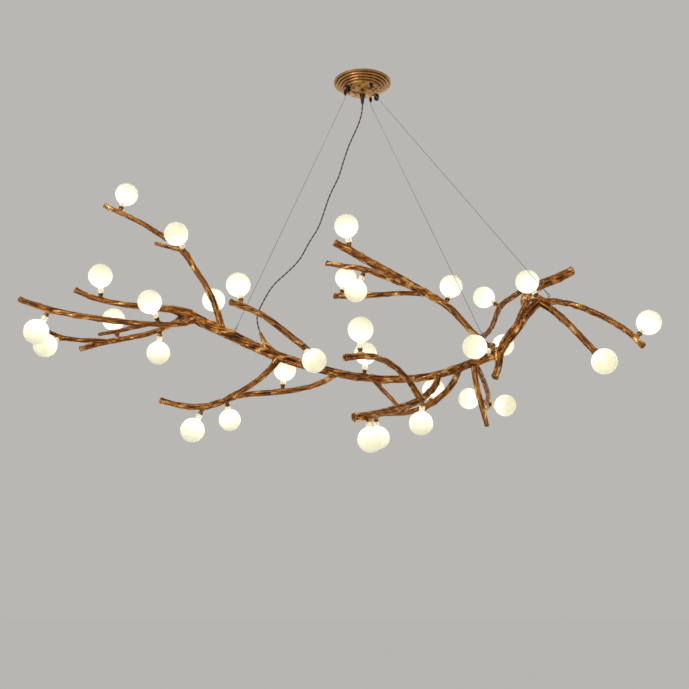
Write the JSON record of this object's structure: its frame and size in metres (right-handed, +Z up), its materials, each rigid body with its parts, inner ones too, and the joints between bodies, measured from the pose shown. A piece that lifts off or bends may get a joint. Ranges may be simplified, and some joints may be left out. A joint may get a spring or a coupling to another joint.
{
  "type": "branch chandelier",
  "caption": "Ceiling chandelier shaped as a forked tree branch, hung on three wires from a stepped round canopy, with small globe lamps on twig-like holders.",
  "frame": {"origin": "centre of the ceiling face of the crossbar, inside the top of the canopy", "axes": "+Z up into the ceiling, +X along the length of the tree, +Y away from the side that the picture shows"},
  "size_m": [1.5446, 0.647, 0.9952],
  "materials": {
    "antique_gold_bark": "cast resin bark in antique gold-brown with rubbed highlights",
    "milky_glass": "milky opal glass, lit from inside, on a clear neck",
    "steel_wire": "stranded steel",
    "blackened_steel": "dark plated steel",
    "antique_bronze": "hammered steel in antique gold-bronze",
    "zinc_plated_steel": "zinc plated",
    "white_plastic": "moulded",
    "black_plastic": "moulded",
    "brown_cord": "twisted two-core cord",
    "dark_holder": "dark brown, like a twig"
  },
  "bodies": {
    "canopy": {"canopy_shell": "antique_bronze", "ceiling_crossbar": "zinc_plated_steel", "lamp_driver": "white_plastic", "canopy_screws": "blackened_steel", "strain_relief": "black_plastic", "wire_grippers": "blackened_steel", "suspension_wire_1": "steel_wire", "suspension_wire_2": "steel_wire", "suspension_wire_3": "steel_wire", "power_cord": "brown_cord"},
    "tree": {"limb_cut_top": "antique_gold_bark", "limb_drooping_pair": "antique_gold_bark", "limb_far_right": "antique_gold_bark", "limb_forked_left": "antique_gold_bark", "limb_hanging_back": "antique_gold_bark", "limb_hanging_front": "antique_gold_bark", "limb_long_left": "antique_gold_bark", "limb_lower_back": "antique_gold_bark", "limb_lower_front": "antique_gold_bark", "limb_upper_left": "antique_gold_bark", "limb_upper_middle": "antique_gold_bark", "limb_upper_right": "antique_gold_bark", "trunk": "antique_gold_bark", "lamp_holders": "dark_holder", "wire_eyes": "steel_wire"},
    "lamp_01": {"lamp_01": "milky_glass"},
    "lamp_02": {"lamp_02": "milky_glass"},
    "lamp_03": {"lamp_03": "milky_glass"},
    "lamp_04": {"lamp_04": "milky_glass"},
    "lamp_05": {"lamp_05": "milky_glass"},
    "lamp_06": {"lamp_06": "milky_glass"},
    "lamp_07": {"lamp_07": "milky_glass"},
    "lamp_08": {"lamp_08": "milky_glass"},
    "lamp_09": {"lamp_09": "milky_glass"},
    "lamp_10": {"lamp_10": "milky_glass"},
    "lamp_11": {"lamp_11": "milky_glass"},
    "lamp_12": {"lamp_12": "milky_glass"},
    "lamp_13": {"lamp_13": "milky_glass"},
    "lamp_14": {"lamp_14": "milky_glass"},
    "lamp_15": {"lamp_15": "milky_glass"},
    "lamp_16": {"lamp_16": "milky_glass"},
    "lamp_17": {"lamp_17": "milky_glass"},
    "lamp_18": {"lamp_18": "milky_glass"},
    "lamp_19": {"lamp_19": "milky_glass"},
    "lamp_20": {"lamp_20": "milky_glass"},
    "lamp_21": {"lamp_21": "milky_glass"},
    "lamp_22": {"lamp_22": "milky_glass"},
    "lamp_23": {"lamp_23": "milky_glass"},
    "lamp_24": {"lamp_24": "milky_glass"},
    "lamp_25": {"lamp_25": "milky_glass"},
    "lamp_26": {"lamp_26": "milky_glass"},
    "lamp_27": {"lamp_27": "milky_glass"},
    "lamp_28": {"lamp_28": "milky_glass"},
    "lamp_29": {"lamp_29": "milky_glass"},
    "lamp_30": {"lamp_30": "milky_glass"},
    "lamp_31": {"lamp_31": "milky_glass"},
    "lamp_32": {"lamp_32": "milky_glass"},
    "gripper_plunger_1": {"gripper_plunger_1": "blackened_steel"},
    "gripper_plunger_2": {"gripper_plunger_2": "blackened_steel"},
    "gripper_plunger_3": {"gripper_plunger_3": "blackened_steel"}
  },
  "joints": [
    {"name": "tree_height", "type": "slide", "parent": "canopy", "child": "tree", "axis": [0, 0, 1], "range_m": [0, 0.3], "deforming": ["suspension_wire_1", "suspension_wire_2", "suspension_wire_3", "power_cord"]},
    {"name": "lamp_01_pull", "type": "slide", "parent": "tree", "child": "lamp_01", "axis": [0.2198, 0.262, 0.9397], "range_m": [0, 0.008]},
    {"name": "lamp_02_pull", "type": "slide", "parent": "tree", "child": "lamp_02", "axis": [-0.2802, -0.7698, 0.5736], "range_m": [0, 0.008]},
    {"name": "lamp_03_pull", "type": "slide", "parent": "tree", "child": "lamp_03", "axis": [0, -0.342, 0.9397], "range_m": [0, 0.008]},
    {"name": "lamp_04_pull", "type": "slide", "parent": "tree", "child": "lamp_04", "axis": [-0.383, -0.3214, 0.866], "range_m": [0, 0.008]},
    {"name": "lamp_05_pull", "type": "slide", "parent": "tree", "child": "lamp_05", "axis": [-0.2962, 0.171, 0.9397], "range_m": [0, 0.008]},
    {"name": "lamp_06_pull", "type": "slide", "parent": "tree", "child": "lamp_06", "axis": [-0.4924, 0.0868, -0.866], "range_m": [0, 0.008]},
    {"name": "lamp_07_pull", "type": "slide", "parent": "tree", "child": "lamp_07", "axis": [-0.4967, -0.7094, -0.5], "range_m": [0, 0.008]},
    {"name": "lamp_08_pull", "type": "slide", "parent": "tree", "child": "lamp_08", "axis": [-0.0885, 0.2432, -0.9659], "range_m": [0, 0.008]},
    {"name": "lamp_09_pull", "type": "slide", "parent": "tree", "child": "lamp_09", "axis": [-0.2717, 0.5826, 0.766], "range_m": [0, 0.008]},
    {"name": "lamp_10_pull", "type": "slide", "parent": "tree", "child": "lamp_10", "axis": [-0.1962, 0.2802, 0.9397], "range_m": [0, 0.008]},
    {"name": "lamp_11_pull", "type": "slide", "parent": "tree", "child": "lamp_11", "axis": [0.4545, -0.5417, -0.7071], "range_m": [0, 0.008]},
    {"name": "lamp_12_pull", "type": "slide", "parent": "tree", "child": "lamp_12", "axis": [0.0996, 0.1422, 0.9848], "range_m": [0, 0.008]},
    {"name": "lamp_13_pull", "type": "slide", "parent": "tree", "child": "lamp_13", "axis": [-0.4162, 0.0734, -0.9063], "range_m": [0, 0.008]},
    {"name": "lamp_14_pull", "type": "slide", "parent": "tree", "child": "lamp_14", "axis": [0.0996, 0.5649, -0.8192], "range_m": [0, 0.008]},
    {"name": "lamp_15_pull", "type": "slide", "parent": "tree", "child": "lamp_15", "axis": [-0.1422, -0.0996, 0.9848], "range_m": [0, 0.008]},
    {"name": "lamp_16_pull", "type": "slide", "parent": "tree", "child": "lamp_16", "axis": [0.2418, 0.2418, 0.9397], "range_m": [0, 0.008]},
    {"name": "lamp_17_pull", "type": "slide", "parent": "tree", "child": "lamp_17", "axis": [-0.4096, 0.2868, -0.866], "range_m": [0, 0.008]},
    {"name": "lamp_18_pull", "type": "slide", "parent": "tree", "child": "lamp_18", "axis": [0.0226, -0.2578, 0.9659], "range_m": [0, 0.008]},
    {"name": "lamp_19_pull", "type": "slide", "parent": "tree", "child": "lamp_19", "axis": [0.0449, -0.2549, 0.9659], "range_m": [0, 0.008]},
    {"name": "lamp_20_pull", "type": "slide", "parent": "tree", "child": "lamp_20", "axis": [0.2717, 0.3237, 0.9063], "range_m": [0, 0.008]},
    {"name": "lamp_21_pull", "type": "slide", "parent": "tree", "child": "lamp_21", "axis": [-0.6275, 0.5265, 0.5736], "range_m": [0, 0.008]},
    {"name": "lamp_22_pull", "type": "slide", "parent": "tree", "child": "lamp_22", "axis": [-0.4096, 0.2868, 0.866], "range_m": [0, 0.008]},
    {"name": "lamp_23_pull", "type": "slide", "parent": "tree", "child": "lamp_23", "axis": [-0.8925, -0.4162, 0.1736], "range_m": [0, 0.008]},
    {"name": "lamp_24_pull", "type": "slide", "parent": "tree", "child": "lamp_24", "axis": [0.7544, 0.633, 0.1736], "range_m": [0, 0.008]},
    {"name": "lamp_25_pull", "type": "slide", "parent": "tree", "child": "lamp_25", "axis": [0.2198, 0.604, 0.766], "range_m": [0, 0.008]},
    {"name": "lamp_26_pull", "type": "slide", "parent": "tree", "child": "lamp_26", "axis": [-0.0734, 0.1574, -0.9848], "range_m": [0, 0.008]},
    {"name": "lamp_27_pull", "type": "slide", "parent": "tree", "child": "lamp_27", "axis": [0.0594, -0.3368, -0.9397], "range_m": [0, 0.008]},
    {"name": "lamp_28_pull", "type": "slide", "parent": "tree", "child": "lamp_28", "axis": [0.117, 0.3214, -0.9397], "range_m": [0, 0.008]},
    {"name": "lamp_29_pull", "type": "slide", "parent": "tree", "child": "lamp_29", "axis": [-0.7912, 0.554, 0.2588], "range_m": [0, 0.008]},
    {"name": "lamp_30_pull", "type": "slide", "parent": "tree", "child": "lamp_30", "axis": [0.6964, -0.6964, -0.1736], "range_m": [0, 0.008]},
    {"name": "lamp_31_pull", "type": "slide", "parent": "tree", "child": "lamp_31", "axis": [0.1422, -0.8067, -0.5736], "range_m": [0, 0.008]},
    {"name": "lamp_32_pull", "type": "slide", "parent": "tree", "child": "lamp_32", "axis": [0.6409, 0.2988, 0.7071], "range_m": [0, 0.008]},
    {"name": "gripper_1_release", "type": "slide", "parent": "canopy", "child": "gripper_plunger_1", "axis": [0, 0, 1], "range_m": [0, 0.0025], "stiffness_N_per_m": 400, "springref_m": -0.002},
    {"name": "gripper_2_release", "type": "slide", "parent": "canopy", "child": "gripper_plunger_2", "axis": [0, 0, 1], "range_m": [0, 0.0025], "stiffness_N_per_m": 400, "springref_m": -0.002},
    {"name": "gripper_3_release", "type": "slide", "parent": "canopy", "child": "gripper_plunger_3", "axis": [0, 0, 1], "range_m": [0, 0.0025], "stiffness_N_per_m": 400, "springref_m": -0.002}
  ]
}
